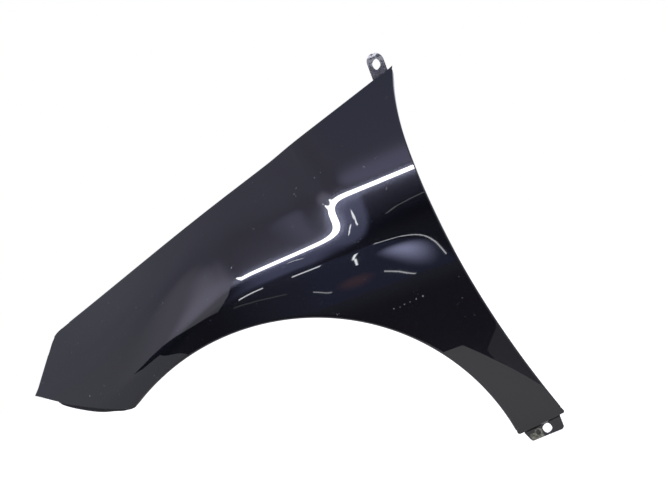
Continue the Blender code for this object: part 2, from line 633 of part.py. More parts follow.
def build_clip(material, parent):
    """Sill clip nut: a spring strip folded round the tab's lower edge, with a drawn thread boss behind."""
    outer = tab_plane() - CLEARANCE - CLIP_SHEET
    inner = tab_plane() + SHEET + CLEARANCE + CLIP_SHEET
    middle, radius = 0.5 * (outer + inner), 0.5 * (inner - outer)
    columns = 14
    x = SILL_CORNER[0] + CLIP_FRONT + CLIP_WIDTH * np.linspace(0.0, 1.0, columns + 1)
    low = tab_bottom(x) - CLEARANCE
    dome = CLIP_SCREW[1] + np.sqrt(np.maximum(CLIP_DOME_RADIUS ** 2 - (x - CLIP_SCREW[0]) ** 2, 0.0))
    top = np.maximum(SILL_EDGE_HEIGHT - CLIP_TOP_BELOW, dome)
    profile = [(outer + 0 * x, top), (outer + 0 * x, low)]
    for angle in np.linspace(0.0, math.pi, 7)[1:-1]:
        profile.append((middle - radius * math.cos(angle) + 0 * x, low - radius * math.sin(angle)))
    profile += [(inner + 0 * x, low), (inner + 0 * x, top)]
    points = [(x[i], y[i], z[i]) for i in range(columns + 1) for y, z in profile]
    length = len(profile)
    faces = [(i * length + j, (i + 1) * length + j, (i + 1) * length + j + 1, i * length + j + 1)
             for i in range(columns) for j in range(length - 1)]
    clip = new_object("sill_clip_nut", points, faces, material, parent, (0, 0, -1))
    sheet_modifier(clip, CLIP_SHEET)

    def plug(name, diameter, start, end):
        centre = (CLIP_SCREW[0], 0.5 * (start + end), CLIP_SCREW[1])
        return cutter(name, [prism(round_outline(diameter, count=16), centre, (1, 0, 0), (0, 0, 1), end - start)],
                      parent)

    boss = plug("thread_boss", CLIP_BOSS_DIAMETER, inner - 0.5 * CLIP_SHEET, inner + CLIP_BOSS_LENGTH)
    join = clip.modifiers.new("thread_boss", "BOOLEAN")
    join.operation = "UNION"
    join.solver = "EXACT"
    join.object = boss
    cut(clip, plug("thread_bore", CLIP_BORE, inner - 2 * CLIP_SHEET, inner + 2 * CLIP_BOSS_LENGTH))
    cut(clip, plug("clip_screw_hole", CLIP_SCREW_HOLE, outer - 2 * CLIP_SHEET, outer + CLIP_SHEET + CLEARANCE))
    return clip


def main():
    for obj in list(bpy.data.objects):
        bpy.data.objects.remove(obj, do_unlink=True)
    along = Vector((1.0, 0.0, BONNET_SLOPE)).normalized()
    up = Vector((-along.z, 0.0, along.x))
    seat = ledge_point(LEDGE_BOLT_X[1] + LEDGE_SEAT_OFFSET) - up * SHEET
    wheel_centre = bpy.data.objects.new("wheel_centre", None)
    bpy.context.scene.collection.objects.link(wheel_centre)
    wheel_centre.location = -seat
    paint = new_material("dark_blue_paint", (0.012, 0.013, 0.022), 0.25, 0.6, coat=1.0)
    bare = new_material("worn_bracket_steel", (0.30, 0.30, 0.33), 0.45, 0.9)
    zinc = new_material("dull_zinc", (0.14, 0.14, 0.11), 0.55, 0.8)
    build_panel(paint, wheel_centre)
    build_bracket(bare, wheel_centre)
    build_clip(zinc, wheel_centre)


main()
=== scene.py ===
"""Left front car fender, dark blue, photographed in a white studio.

Metres.  +X runs to the car's rear, +Y inward, +Z up.  The pressing is set out from the wheel centre.
"""
import math

import bmesh
import bpy
import numpy as np
from mathutils import Matrix, Vector


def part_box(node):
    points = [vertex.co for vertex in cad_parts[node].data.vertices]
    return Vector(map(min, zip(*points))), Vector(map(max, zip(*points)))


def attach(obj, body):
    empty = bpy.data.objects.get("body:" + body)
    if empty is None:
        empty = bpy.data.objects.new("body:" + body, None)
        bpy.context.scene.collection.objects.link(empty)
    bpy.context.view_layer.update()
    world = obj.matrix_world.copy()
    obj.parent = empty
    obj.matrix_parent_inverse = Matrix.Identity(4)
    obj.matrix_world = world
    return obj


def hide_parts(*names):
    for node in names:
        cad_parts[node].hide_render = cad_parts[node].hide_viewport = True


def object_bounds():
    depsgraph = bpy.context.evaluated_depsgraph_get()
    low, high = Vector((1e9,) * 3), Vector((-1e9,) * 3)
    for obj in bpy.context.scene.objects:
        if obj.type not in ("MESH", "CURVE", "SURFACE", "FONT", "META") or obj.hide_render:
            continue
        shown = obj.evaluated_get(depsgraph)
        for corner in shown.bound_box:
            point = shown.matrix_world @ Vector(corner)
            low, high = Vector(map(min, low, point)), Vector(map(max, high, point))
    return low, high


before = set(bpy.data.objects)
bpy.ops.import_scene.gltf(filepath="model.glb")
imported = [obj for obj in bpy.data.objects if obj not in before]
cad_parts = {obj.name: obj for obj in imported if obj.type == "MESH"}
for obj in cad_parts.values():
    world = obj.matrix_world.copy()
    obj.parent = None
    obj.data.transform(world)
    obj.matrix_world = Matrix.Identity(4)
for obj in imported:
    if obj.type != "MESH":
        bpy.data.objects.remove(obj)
cad_box = [list(corner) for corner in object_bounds()]
scene = bpy.context.scene

# Camera.
# The picture is taken square to the side of the car from a little above the hub.  The camera is
# turned, because the panel leans nose down in the photo.
WHEEL_CENTRE = Vector((0.0207605, -0.1134146, -0.5118369))
CAMERA_PLACE = Vector((0.1813, -2.41, 0.4257)) + WHEEL_CENTRE
CAMERA_TURN = math.radians(20.0)
CAMERA_DISTANCE = 2.44
PICTURE_WIDTH = 667 * 0.00155
SENSOR_WIDTH = 36.0


def facing_panel(place, turn):
    """The matrix of an object at the place that looks along +Y, turned clockwise as it looks."""
    cos, sin = math.cos(turn), math.sin(turn)
    return Matrix.Translation(place) @ Matrix((
        (cos, sin, 0.0, 0.0), (0.0, 0.0, -1.0, 0.0), (-sin, cos, 0.0, 0.0), (0.0, 0.0, 0.0, 1.0)))


view = bpy.data.cameras.new("camera")
view.sensor_width = SENSOR_WIDTH
view.lens = SENSOR_WIDTH / (PICTURE_WIDTH / CAMERA_DISTANCE)
camera = bpy.data.objects.new("camera", view)
scene.collection.objects.link(camera)
camera.matrix_world = facing_panel(CAMERA_PLACE, CAMERA_TURN)
scene.camera = camera

# Fender panel: its outline in side view.
# The steel blank is trimmed to the wheel arch, the bumper, the headlamp, the bonnet, the door and the
# sill.  All six edges are known curves about the wheel centre.
ARCH_RADIUS = 0.3577
ARCH_FRONT_ANGLE = math.radians(123.4)
ARCH_FRONT = ARCH_RADIUS * np.array((math.cos(ARCH_FRONT_ANGLE), math.sin(ARCH_FRONT_ANGLE)))
SILL_EDGE_HEIGHT = 0.0585
SILL_CORNER = np.array((math.sqrt(ARCH_RADIUS ** 2 - SILL_EDGE_HEIGHT ** 2), SILL_EDGE_HEIGHT))
SILL_ANGLE = math.atan2(SILL_CORNER[1], SILL_CORNER[0])
DOOR_CORNER = SILL_CORNER + (0.0801, 0.0087)
NOSE_TIP = ARCH_FRONT + (-0.1626, 0.0699)
BUMPER_SAG = 0.0069
LAMP_CORNER_X = NOSE_TIP[0] + 0.0555
LAMP_CORNER_RADIUS = 0.045
BONNET_HEIGHT = ARCH_RADIUS + 0.1917
BONNET_SLOPE = 0.3238
BONNET_RADIUS = 26.18
WAIST = np.array((ARCH_RADIUS - 0.0135, ARCH_RADIUS + 0.1423))
TIP_X = WAIST[0] + 0.0273
DOOR_UPPER_POWER, DOOR_LOWER_POWER = 2.4, 1.8

# The skin stops short of each edge by the width of its fold, and its three lower corners are rounded
FOLD_RADIUS = 0.0025
BONNET_INSET = 0.0010
BUMPER_INSET = 0.0008
CORNER_RELIEF = 0.012
DOOR_RELIEF = 0.028
CORNER_RADIUS = 0.0045
CORNER_TURN = CORNER_RADIUS / ARCH_RADIUS
INSIDE = (0.0, 0.45)

# The skin's columns are counted along the lamp, bonnet and door edges, and its rows from the arch out
FINENESS = 4
LAMP_COLUMNS, BONNET_COLUMNS, DOOR_COLUMNS, ROWS = (FINENESS * count for count in (7, 36, 22, 20))
LAMP_COLUMN_ANGLE = math.radians(116.5)
TIP_COLUMN_ANGLE = math.radians(60.0)
LAMP_STEPS, LAMP_CORNER_STEPS, CORNER_STEPS, BUMPER_STEPS, LONG_EDGE_STEPS = 80, 41, 9, 121, 600
EVENING_ROUNDS = 10


def bonnet_edge_height(x):
    """Height at the wheel centre, plus slope times x, plus x squared over twice the radius."""
    return BONNET_HEIGHT + BONNET_SLOPE * x + 0.5 * x * x / BONNET_RADIUS


def door_edge_x(z):
    """Waist place plus a power of the height above it, or another power of the depth below it."""
    up = np.maximum(z - WAIST[1], 0.0) / (bonnet_edge_height(TIP_X) - WAIST[1])
    down = np.maximum(WAIST[1] - z, 0.0) / (WAIST[1] - DOOR_CORNER[1])
    return (WAIST[0] + (TIP_X - WAIST[0]) * up ** DOOR_UPPER_POWER
            + (DOOR_CORNER[0] - WAIST[0]) * down ** DOOR_LOWER_POWER)


def arch_edge(angle):
    """Radius times the cosine and the sine of the angle."""
    return ARCH_RADIUS * np.stack([np.cos(angle), np.sin(angle)], axis=-1)


def straight(start, end, count):
    """Start plus a share of the way to the end."""
    return start + (np.asarray(end) - start) * np.linspace(0.0, 1.0, count)[:, None]


def unit(vectors):
    """Each vector over its own length."""
    return vectors / np.linalg.norm(vectors, axis=-1, keepdims=True)


def travelled(points):
    """The running sum of the steps from point to point."""
    return np.concatenate([[0.0], np.cumsum(np.linalg.norm(np.diff(points, axis=0), axis=-1))])


def lamp_corner():
    """Arc about a centre on the bisector of the lamp and bonnet edges, tangent to both."""
    corner = np.array((LAMP_CORNER_X, bonnet_edge_height(LAMP_CORNER_X)))
    back = unit(NOSE_TIP - corner)
    ahead = unit(np.array((0.0, bonnet_edge_height(0.0))) - corner)
    half = 0.5 * math.acos(back @ ahead)
    centre = corner + unit(back + ahead) * LAMP_CORNER_RADIUS / math.sin(half)
    first, last = (corner + side * LAMP_CORNER_RADIUS / math.tan(half) - centre for side in (back, ahead))
    whole = math.atan2(first[0] * last[1] - first[1] * last[0], first @ last)
    turn = np.linspace(0.0, whole, LAMP_CORNER_STEPS)
    across = np.array((-first[1], first[0]))
    return centre + np.cos(turn)[:, None] * first + np.sin(turn)[:, None] * across


def rounded(start, corner, end):
    """Start, corner and end, weighted by the three terms of the square of one less share plus share."""
    share = np.linspace(0.0, 1.0, CORNER_STEPS)[:, None]
    return (1 - share) ** 2 * start + 2 * share * (1 - share) * corner + share ** 2 * end


def spaced(points, count):
    """The same run of points, met at equal steps of its length."""
    length = travelled(points)
    wanted = np.linspace(0.0, length[-1], count + 1)
    return np.stack([np.interp(wanted, length, points[:, axis]) for axis in range(points.shape[1])], axis=-1)


def folded_in(points, inset, relief=CORNER_RELIEF):
    """Each point less the inset along the edge's normal, tapering to nothing at both corners."""
    along = np.gradient(points, axis=0)
    out = unit(np.stack([along[:, 1], -along[:, 0]], axis=-1))
    half = len(points) // 2
    out *= np.sign((points[half] - INSIDE) @ out[half])
    length = travelled(points)
    taper = np.clip(np.minimum(length, length[-1] - length) / relief, 0.0, 1.0)
    return points - out * (inset * taper)[:, None]


def upper_edge():
    """Lamp edge, lamp corner and bonnet edge in one run, moved in by the width of their folds."""
    corner = lamp_corner()
    lamp = straight(NOSE_TIP, corner[0], LAMP_STEPS)[:-1]
    x = np.linspace(corner[-1, 0], TIP_X, LONG_EDGE_STEPS)[1:]
    edge = np.vstack([lamp, corner, np.stack([x, bonnet_edge_height(x)], axis=-1)])
    return folded_in(edge, np.where(edge[:, 0] < LAMP_CORNER_X, FOLD_RADIUS, BONNET_INSET))


def door_edge():
    """Door edge from the rear tip down to the sill's rounded corner, moved in by the fold's radius."""
    z = np.linspace(bonnet_edge_height(TIP_X), DOOR_CORNER[1] + CORNER_RADIUS, LONG_EDGE_STEPS)
    return folded_in(np.stack([door_edge_x(z), z], axis=-1), FOLD_RADIUS, DOOR_RELIEF)


def bumper_edge():
    """Straight line less four sags times share times one less share, rounded into the arch."""
    edge = straight(ARCH_FRONT, NOSE_TIP, BUMPER_STEPS)
    share = np.linspace(0.0, 1.0, BUMPER_STEPS)
    edge[:, 1] -= 4 * BUMPER_SAG * share * (1 - share)
    corner = rounded(arch_edge(ARCH_FRONT_ANGLE - CORNER_TURN), edge[0], edge[3])
    return folded_in(np.vstack([corner[:-1], edge[3:]]), BUMPER_INSET)


def sill_edge():
    """Straight line from the arch to the door, rounded into both."""
    along = CORNER_RADIUS * (DOOR_CORNER - SILL_CORNER) / np.linalg.norm(DOOR_CORNER - SILL_CORNER)
    foot = DOOR_CORNER[1] + CORNER_RADIUS
    return np.vstack([
        rounded(arch_edge(SILL_ANGLE + CORNER_TURN), SILL_CORNER, SILL_CORNER + along),
        rounded(DOOR_CORNER - along, DOOR_CORNER, np.array((door_edge_x(foot), foot)))])


def side_view():
    """Blend across plus blend up, less the blend of the corners, then each inner point evened out.

    Evening out moves each inner point to the mean of its four neighbours, a few times over.
    """
    front = upper_edge()
    corner = np.argmin(np.abs(front[:, 0] - LAMP_CORNER_X))
    top = np.vstack([spaced(front[:corner + 1], LAMP_COLUMNS), spaced(front[corner:], BONNET_COLUMNS)[1:],
                     spaced(door_edge(), DOOR_COLUMNS)[1:]])
    turns = (ARCH_FRONT_ANGLE - CORNER_TURN, LAMP_COLUMN_ANGLE, TIP_COLUMN_ANGLE, SILL_ANGLE + CORNER_TURN)
    angles = np.concatenate([np.linspace(turns[0], turns[1], LAMP_COLUMNS + 1),
                             np.linspace(turns[1], turns[2], BONNET_COLUMNS + 1)[1:],
                             np.linspace(turns[2], turns[3], DOOR_COLUMNS + 1)[1:]])
    low = folded_in(arch_edge(angles), FOLD_RADIUS)
    west, east = spaced(bumper_edge(), ROWS), spaced(sill_edge(), ROWS)
    u = np.linspace(0.0, 1.0, len(top))[:, None, None]
    v = np.linspace(0.0, 1.0, ROWS + 1)[None, :, None]
    grid = (1 - v) * low[:, None] + v * top[:, None] + (1 - u) * west[None] + u * east[None]
    grid = grid - (1 - u) * ((1 - v) * low[0] + v * top[0]) - u * ((1 - v) * low[-1] + v * top[-1])
    for _ in range(EVENING_ROUNDS):
        grid[1:-1, 1:-1] = 0.25 * (grid[:-2, 1:-1] + grid[2:, 1:-1] + grid[1:-1, :-2] + grid[1:-1, 2:])
    return grid


# Fender panel: its pressed surface.
# The die draws the sheet to a shoulder line with a sloping shelf over it, which flattens behind the
# wheel, a rounded nose and a slight tuck to the sill.
NOSE_START, NOSE_RADIUS = 0.150, 1.064
SIDE_LEAN = -0.03
SHOULDER_HEIGHT = ARCH_RADIUS + 0.0630
SHOULDER_RISE = 0.043
SHOULDER_FALL, SHOULDER_FALL_START, SHOULDER_FALL_REACH = 0.15, 0.05, 0.25
SHOULDER_SOFTNESS = 0.010
SHELF_SLOPE_FRONT, SHELF_SLOPE_REAR = 0.50, 0.30
SHELF_CHANGE_X, SHELF_CHANGE_LEAN, SHELF_CHANGE_SOFTNESS = 0.220, 0.37, 0.0135
SHELF_WIDTH = 0.0825
TOP_SLOPE_ADDED = 0.376
TUCK_HEIGHT, TUCK_RADIUS = 0.35, 2.5


def soft_ramp(distance, softness):
    """Softness times the logarithm of one plus e to the power distance over softness."""
    return softness * np.logaddexp(0.0, distance / softness)


def soft_step(distance, softness):
    """One over one plus e to the power minus distance over softness."""
    return 1.0 / (1.0 + np.exp(-np.clip(distance / softness, -50.0, 50.0)))


def depth(x, z):
    """Inward depth at x and z: nose parabola, lean, two soft ramps over the shoulder, sill parabola."""
    reach = np.maximum(SHOULDER_FALL_START - x, 0.0) / SHOULDER_FALL_REACH
    line = SHOULDER_HEIGHT + SHOULDER_RISE * np.maximum(x, 0.0) - SHOULDER_FALL * (1.0 - np.exp(-reach ** 2))
    above = z - line
    change = soft_step(x - SHELF_CHANGE_X + SHELF_CHANGE_LEAN * above, SHELF_CHANGE_SOFTNESS)
    slope = SHELF_SLOPE_FRONT - (SHELF_SLOPE_FRONT - SHELF_SLOPE_REAR) * change
    shoulder = slope * soft_ramp(above, SHOULDER_SOFTNESS)
    shoulder = shoulder + TOP_SLOPE_ADDED * soft_ramp(above - SHELF_WIDTH, SHOULDER_SOFTNESS)
    nose = 0.5 * np.maximum(NOSE_START - x, 0.0) ** 2 / NOSE_RADIUS
    tuck = 0.5 * np.maximum(TUCK_HEIGHT - z, 0.0) ** 2 / TUCK_RADIUS
    return nose + SIDE_LEAN * above + shoulder + tuck


def surface(x, z):
    """The point x, depth, z, and the unit normal from the two slopes of the depth."""
    step = 1e-5
    slope_x = (depth(x + step, z) - depth(x - step, z)) / (2 * step)
    slope_z = (depth(x, z + step) - depth(x, z - step)) / (2 * step)
    return (np.stack([x, depth(x, z), z], axis=-1),
            unit(np.stack([slope_x, -np.ones_like(slope_x), slope_z], axis=-1)))


plan = side_view()
skin, skin_normal = surface(plan[..., 0], plan[..., 1])
skin_middle = skin.reshape(-1, 3).mean(axis=0)

# Fender panel: its folded edges.
# A right-angled lip stiffens the arch, lamp and door edges.  A deep wall and a ledge with bolt pads
# make the bonnet gap, and a joggled strip and a set-in tab meet the bumper and the sill.
SHEET = 0.0008
INWARD, DOWN = np.array([0.0, 1.0, 0.0]), np.array([0.0, 0.0, -1.0])
ARCH_LIP = 0.014
LAMP_FLANGE = 0.010
DOOR_FLANGE = 0.011
PILLAR_TAB = 0.015
PILLAR_TAB_HEIGHT = WAIST[1] + 0.045
PILLAR_TAB_HALF_LENGTH = 0.032
WALL_LEAN = 0.07
LEDGE_DROP = 0.030
LEDGE_BEND = 0.0022
LEDGE_WIDTH = 0.0128
LEDGE_PAD = 0.0098
LEDGE_PAD_HALF_LENGTH = 0.038
LEDGE_BOLT_X = (LAMP_CORNER_X + 0.0890, LAMP_CORNER_X + 0.2690, TIP_X - 0.2265, TIP_X - 0.0815)
BUMPER_JOGGLE = 0.0025
BUMPER_DROP = 0.0041
BUMPER_RETURN = 0.012
BUMPER_FRONT_SHARE, BUMPER_STEP_AT, BUMPER_STEP_SOFTNESS = 0.6, 0.35, 0.05
BUMPER_START_SHARE, BUMPER_START_REACH = 0.1, 0.12
TAB_TOP_FRONT_X = SILL_CORNER[0] + 0.0096
TAB_FRONT_X, TAB_REAR_X = SILL_CORNER[0] + 0.0156, SILL_CORNER[0] + 0.0711
TAB_PLANE = float(depth(*(0.5 * (SILL_CORNER + DOOR_CORNER)))) + 0.0040
TAB_JOGGLE = 0.0028
TAB_DEPTH = 0.0170
TAB_BOTTOM_SLOPE = 0.035
TAB_CORNER, TAB_CORNER_RISE = 0.0050, 0.0035


def hump(distance, half_length):
    """Half of one plus the cosine, one at the middle and zero from the half length on."""
    return np.where(np.abs(distance) < half_length, 0.5 + 0.5 * np.cos(np.pi * distance / half_length), 0.0)


def edge_out(place, normal):
    """Cross product of the edge's direction and the normal, pointing away from the panel's middle."""
    out = unit(np.cross(np.gradient(place, axis=0), normal))
    half = len(place) // 2
    return out * np.sign(out[half] @ (place[half] - skin_middle))


def bend(place, out, inward, radius, turn, steps):
    """Place plus radius times (sine of a share of the turn outward, one less its cosine inward)."""
    return [place + radius * (out * np.sin(share * turn) + inward * (1 - np.cos(share * turn)))
            for share in np.linspace(0.0, 1.0, steps)]


def lip(place, normal, width, corners, relief=CORNER_RELIEF, square=False):
    """A right-angled bend at the edge, then straight in by the width.

    The radius is as wide as the inset of the skin's edge, which shrinks towards each corner.  A square
    lip runs straight across the car, and any other lip runs square to the skin.
    """
    out = edge_out(place, normal)
    near = np.min([np.linalg.norm(place - corner, axis=-1) for corner in corners], axis=0)
    radius = FOLD_RADIUS * np.clip(near / relief, 0.02, 1.0)[:, None]
    inward = unit(INWARD - out * out[:, 1:2]) if square else -normal
    rows = bend(place, out, inward, radius, 0.5 * math.pi, 7)
    way = INWARD if square else inward
    width = np.broadcast_to(width, (len(place),))[:, None]
    return np.stack(rows + [rows[-1] + way * width * share for share in (1 / 3, 2 / 3, 1.0)], axis=1)


def wall_bend(place, normal):
    """A bend at the edge that goes on until the sheet hangs at its lean."""
    out = edge_out(place, normal)
    turn = (math.pi - math.atan(WALL_LEAN) - np.arctan2(out[:, 1], out[:, 2]))[:, None]
    return bend(place, out, -normal, FOLD_RADIUS, turn, 9)


def ledge_height(x):
    """The bonnet edge's straight part less the drop."""
    return BONNET_HEIGHT - LEDGE_DROP + BONNET_SLOPE * x


def bonnet_gap(place, normal):
    """Wall bend, a wall in to the ledge's height, a quarter bend, and a ledge wider at each bolt."""
    rows = wall_bend(place, normal)
    x, y, z = rows[-1].T
    floor = ledge_height(x)
    foot = np.stack([x, y + WALL_LEAN * (z - floor), floor + LEDGE_BEND], axis=-1)
    rows += bend(foot, DOWN, INWARD, LEDGE_BEND, 0.5 * math.pi, 5)
    width = LEDGE_WIDTH + sum(LEDGE_PAD * hump(x - bolt, LEDGE_PAD_HALF_LENGTH) for bolt in LEDGE_BOLT_X)
    rows += [rows[-1] + INWARD * width[:, None] * share for share in (0.5, 1.0)]
    return np.stack(rows, axis=1)


def bumper_strip(place, normal):
    """Joggle in, a drop that deepens along the edge by a soft step, and a return square to it.

    The drop grows from a tenth at the arch and runs out at the nose by the root of one less share to
    the fourth.
    """
    out = edge_out(place, normal)
    share = np.linspace(0.0, 1.0, len(place))
    deep = (1.0 - BUMPER_FRONT_SHARE) * soft_step(share - BUMPER_STEP_AT, BUMPER_STEP_SOFTNESS)
    start = np.clip(share / BUMPER_START_REACH + BUMPER_START_SHARE, 0.0, 1.0)
    drop = (BUMPER_DROP * (BUMPER_FRONT_SHARE + deep) * np.sqrt(1.0 - share ** 4) * start)[:, None]
    joggle = place + out * (BUMPER_INSET + 0.2 * BUMPER_JOGGLE) - normal * BUMPER_JOGGLE
    bottom = joggle + out * drop - normal * 0.25 * BUMPER_DROP
    back = bottom + out * 0.3 * FOLD_RADIUS - normal * FOLD_RADIUS
    return np.stack([place, 0.5 * (place + joggle) + out * 0.0004, joggle, 0.5 * (joggle + bottom), bottom,
                     back, back - normal * BUMPER_RETURN], axis=1)


def tab_bottom(x):
    """A line of small slope, with a parabola taken off at each end."""
    inset = np.clip(TAB_CORNER - np.minimum(x - TAB_FRONT_X, TAB_REAR_X - x), 0.0, TAB_CORNER)
    line = SILL_CORNER[1] - TAB_DEPTH + TAB_BOTTOM_SLOPE * (x - TAB_FRONT_X)
    return line + TAB_CORNER_RISE * (inset / TAB_CORNER) ** 2


def sill_tab(place):
    """Half a joggle, a whole joggle to the tab's plane, then straight down to the tab's lower edge."""
    share = (place[:, 0] - place[0, 0]) / (place[-1, 0] - place[0, 0])
    x = TAB_FRONT_X + share * (TAB_REAR_X - TAB_FRONT_X)
    plane = np.full_like(x, TAB_PLANE)
    edge = np.stack([place[:, 0], 0.5 * (place[:, 1] + plane), place[:, 2] - 0.5 * TAB_JOGGLE], axis=-1)
    top = np.stack([place[:, 0], plane, place[:, 2] - TAB_JOGGLE], axis=-1)
    foot = np.stack([x, plane, tab_bottom(x)], axis=-1)
    down = [top + (foot - top) * share for share in (0.2, 0.4, 0.6, 0.8, 1.0)]
    return np.stack([place, edge, top] + down, axis=1)


def sheet_mesh(name, grids, facing=None, slots=None):
    """Quads over each grid of points, joined where the grids share an edge, all facing one way."""
    mesh = bpy.data.meshes.new(name)
    points, faces, count = [], [], 0
    for grid in grids:
        index = count + np.arange(grid.shape[0] * grid.shape[1]).reshape(grid.shape[:2])
        corners = index[:-1, :-1], index[1:, :-1], index[1:, 1:], index[:-1, 1:]
        points.append(grid.reshape(-1, 3))
        faces.append(np.stack(corners, axis=-1).reshape(-1, 4))
        count += index.size
    mesh.from_pydata(np.vstack(points).tolist(), [], np.vstack(faces).tolist())
    if slots:
        each_face = np.repeat(slots, [len(part) for part in faces])
        mesh.polygons.foreach_set("material_index", each_face.astype(np.int32))
    work = bmesh.new()
    work.from_mesh(mesh)
    bmesh.ops.remove_doubles(work, verts=work.verts, dist=1e-6)
    bmesh.ops.recalc_face_normals(work, faces=work.faces)
    work.normal_update()
    if facing:
        whole = sum((face.normal * face.calc_area() for face in work.faces), Vector())
        if whole.dot(Vector(facing)) < 0:
            bmesh.ops.reverse_faces(work, faces=work.faces)
    work.to_mesh(mesh)
    work.free()
    mesh.transform(Matrix.Translation(WHEEL_CENTRE))
    piece = bpy.data.objects.new(name, mesh)
    scene.collection.objects.link(piece)
    return piece


def border(*part):
    """Points and normals of one run of the skin's border."""
    return skin[part], skin_normal[part]


REAR_TIP = LAMP_COLUMNS + BONNET_COLUMNS
LAST = REAR_TIP + DOOR_COLUMNS
LAMP_FLANGE_COLUMNS = slice(1, 5 * FINENESS + 1)
BONNET_GAP_COLUMNS = slice(9 * FINENESS, 42 * FINENESS + 1)
BUMPER_STRIP_ROWS = slice(5, 61)
arch_front, nose, rear_tip = skin[0, 0], skin[0, -1], skin[REAR_TIP, -1]
arch_rear, door_foot = skin[-1, 0], skin[-1, -1]
door_place, door_normal = border(slice(REAR_TIP + 1, LAST), -1)
door_width = DOOR_FLANGE + PILLAR_TAB * hump(door_place[:, 2] - PILLAR_TAB_HEIGHT, PILLAR_TAB_HALF_LENGTH)
sill_x = skin[-1, :, 0]
# The bumper strip takes the second slot, the dark primer: its outer face is painted shade under the skin's
# edge.
panel = sheet_mesh("fender_skin", [
    skin,
    lip(*border(slice(1, LAST), 0), ARCH_LIP, (arch_front, arch_rear), square=True),
    lip(*border(LAMP_FLANGE_COLUMNS, -1), LAMP_FLANGE, (nose,)),
    bonnet_gap(*border(BONNET_GAP_COLUMNS, -1)),
    lip(door_place, door_normal, door_width, (rear_tip, door_foot), DOOR_RELIEF),
    bumper_strip(*border(0, BUMPER_STRIP_ROWS)),
    sill_tab(skin[-1][(sill_x > TAB_TOP_FRONT_X) & (sill_x < TAB_REAR_X)])],
    facing=(0, -1, 0), slots=(0, 0, 0, 0, 0, 1, 0))
wall = panel.modifiers.new("sheet", "SOLIDIFY")
wall.thickness = SHEET
wall.offset = -1.0
wall.material_offset = 1

# Fender panel: its holes.
# The press punches four bolt holes in the ledge, every other one a slot, a rounded diamond in the sill
# tab, four round holes in the arch lip for the liner's clips, and one hole in the pillar tab.
LEDGE_HOLE, LEDGE_SLOTS = 0.0090, (0.0, 0.006, 0.0, 0.006)
TAB_HOLE, TAB_HOLE_SIZE = SILL_CORNER + (0.0460, -0.0054), 0.0152
LIP_HOLE, LIP_HOLE_ANGLES = 0.0070, np.radians((112.0, 88.0, 60.0, 30.0))
PILLAR_HOLE, PILLAR_HOLE_SHARE = 0.0090, 0.62
PUNCH_HALF_LENGTH = 0.006


def plug(centre, first, second, outline):
    """Two rings of the outline about the centre, a half length to either side, each closed to a point."""
    first, second = unit(np.asarray(first, float)), unit(np.asarray(second, float))
    ring = outline[:, :1] * first + outline[:, 1:] * second + np.asarray(centre, float)
    ring = np.vstack([ring, ring[:1]])
    axis = PUNCH_HALF_LENGTH * np.cross(first, second)
    ends = [np.broadcast_to(centre + axis * side, ring.shape) for side in (-1.0, 1.0)]
    return np.stack([ends[0], ring - axis, ring + axis, ends[1]], axis=1)


def round_hole(diameter, slot=0.0, count=48):
    """Radius times cosine and sine, with half the slot added on the cosine's side."""
    angle = np.linspace(0.0, 2 * math.pi, count, endpoint=False) + math.pi / count
    shift = 0.5 * slot * np.sign(np.cos(angle))
    return np.stack([0.5 * diameter * np.cos(angle) + shift, 0.5 * diameter * np.sin(angle)], axis=-1)


def diamond_hole(size, count=64):
    """Half the size times powers of cosine and sine, turned upright in the picture."""
    angle = np.linspace(0.0, 2 * math.pi, count, endpoint=False)
    across, up = (0.5 * size * np.sign(wave) * np.abs(wave) ** 1.25 for wave in (np.cos(angle), np.sin(angle)))
    cos, sin = math.cos(-CAMERA_TURN), math.sin(-CAMERA_TURN)
    return np.stack([across * cos - up * sin, across * sin + up * cos], axis=-1)


def ledge_centre(x):
    """The middle of the ledge's width under the wall's foot."""
    around = x + np.array([-0.01, 0.0, 0.01])
    z = bonnet_edge_height(around) - BONNET_INSET * math.hypot(1.0, BONNET_SLOPE)
    top = wall_bend(*surface(around, z))[-1]
    y, z = (np.interp(x, top[:, 0], top[:, axis]) for axis in (1, 2))
    inner = y + WALL_LEAN * (z - ledge_height(x)) + LEDGE_BEND
    return np.array([x, inner + 0.5 * (LEDGE_WIDTH + LEDGE_PAD), ledge_height(x)])


def settle(piece):
    """The piece's mesh with its modifiers worked in."""
    shaped = bpy.data.meshes.new_from_object(piece.evaluated_get(bpy.context.evaluated_depsgraph_get()))
    piece.modifiers.clear()
    piece.data = shaped
    shaped.shade_smooth()
    shaped.set_sharp_from_angle(angle=math.radians(35.0))


holes = [plug(ledge_centre(x), (1.0, 0.0, BONNET_SLOPE), INWARD, round_hole(LEDGE_HOLE, slot))
         for x, slot in zip(LEDGE_BOLT_X, LEDGE_SLOTS)]
holes.append(plug((TAB_HOLE[0], TAB_PLANE, TAB_HOLE[1]), (1, 0, 0), (0, 0, 1), diamond_hole(TAB_HOLE_SIZE)))
for turn in LIP_HOLE_ANGLES:
    x, z = arch_edge(turn)
    y = float(depth(x, z)) + FOLD_RADIUS + 0.5 * ARCH_LIP
    holes.append(plug((x, y, z), (-z, 0.0, x), INWARD, round_hole(LIP_HOLE)))
pillar, pillar_normal = surface(door_edge_x(np.array(PILLAR_TAB_HEIGHT)), np.array(PILLAR_TAB_HEIGHT))
holes.append(plug(pillar - pillar_normal * (FOLD_RADIUS + PILLAR_HOLE_SHARE * (DOOR_FLANGE + PILLAR_TAB)),
                  -DOWN - pillar_normal * pillar_normal[2], pillar_normal, round_hole(PILLAR_HOLE)))
punches = sheet_mesh("punches", holes)
pierce = panel.modifiers.new("pierce", "BOOLEAN")
pierce.operation = "DIFFERENCE"
pierce.solver = "EXACT"
pierce.object = punches
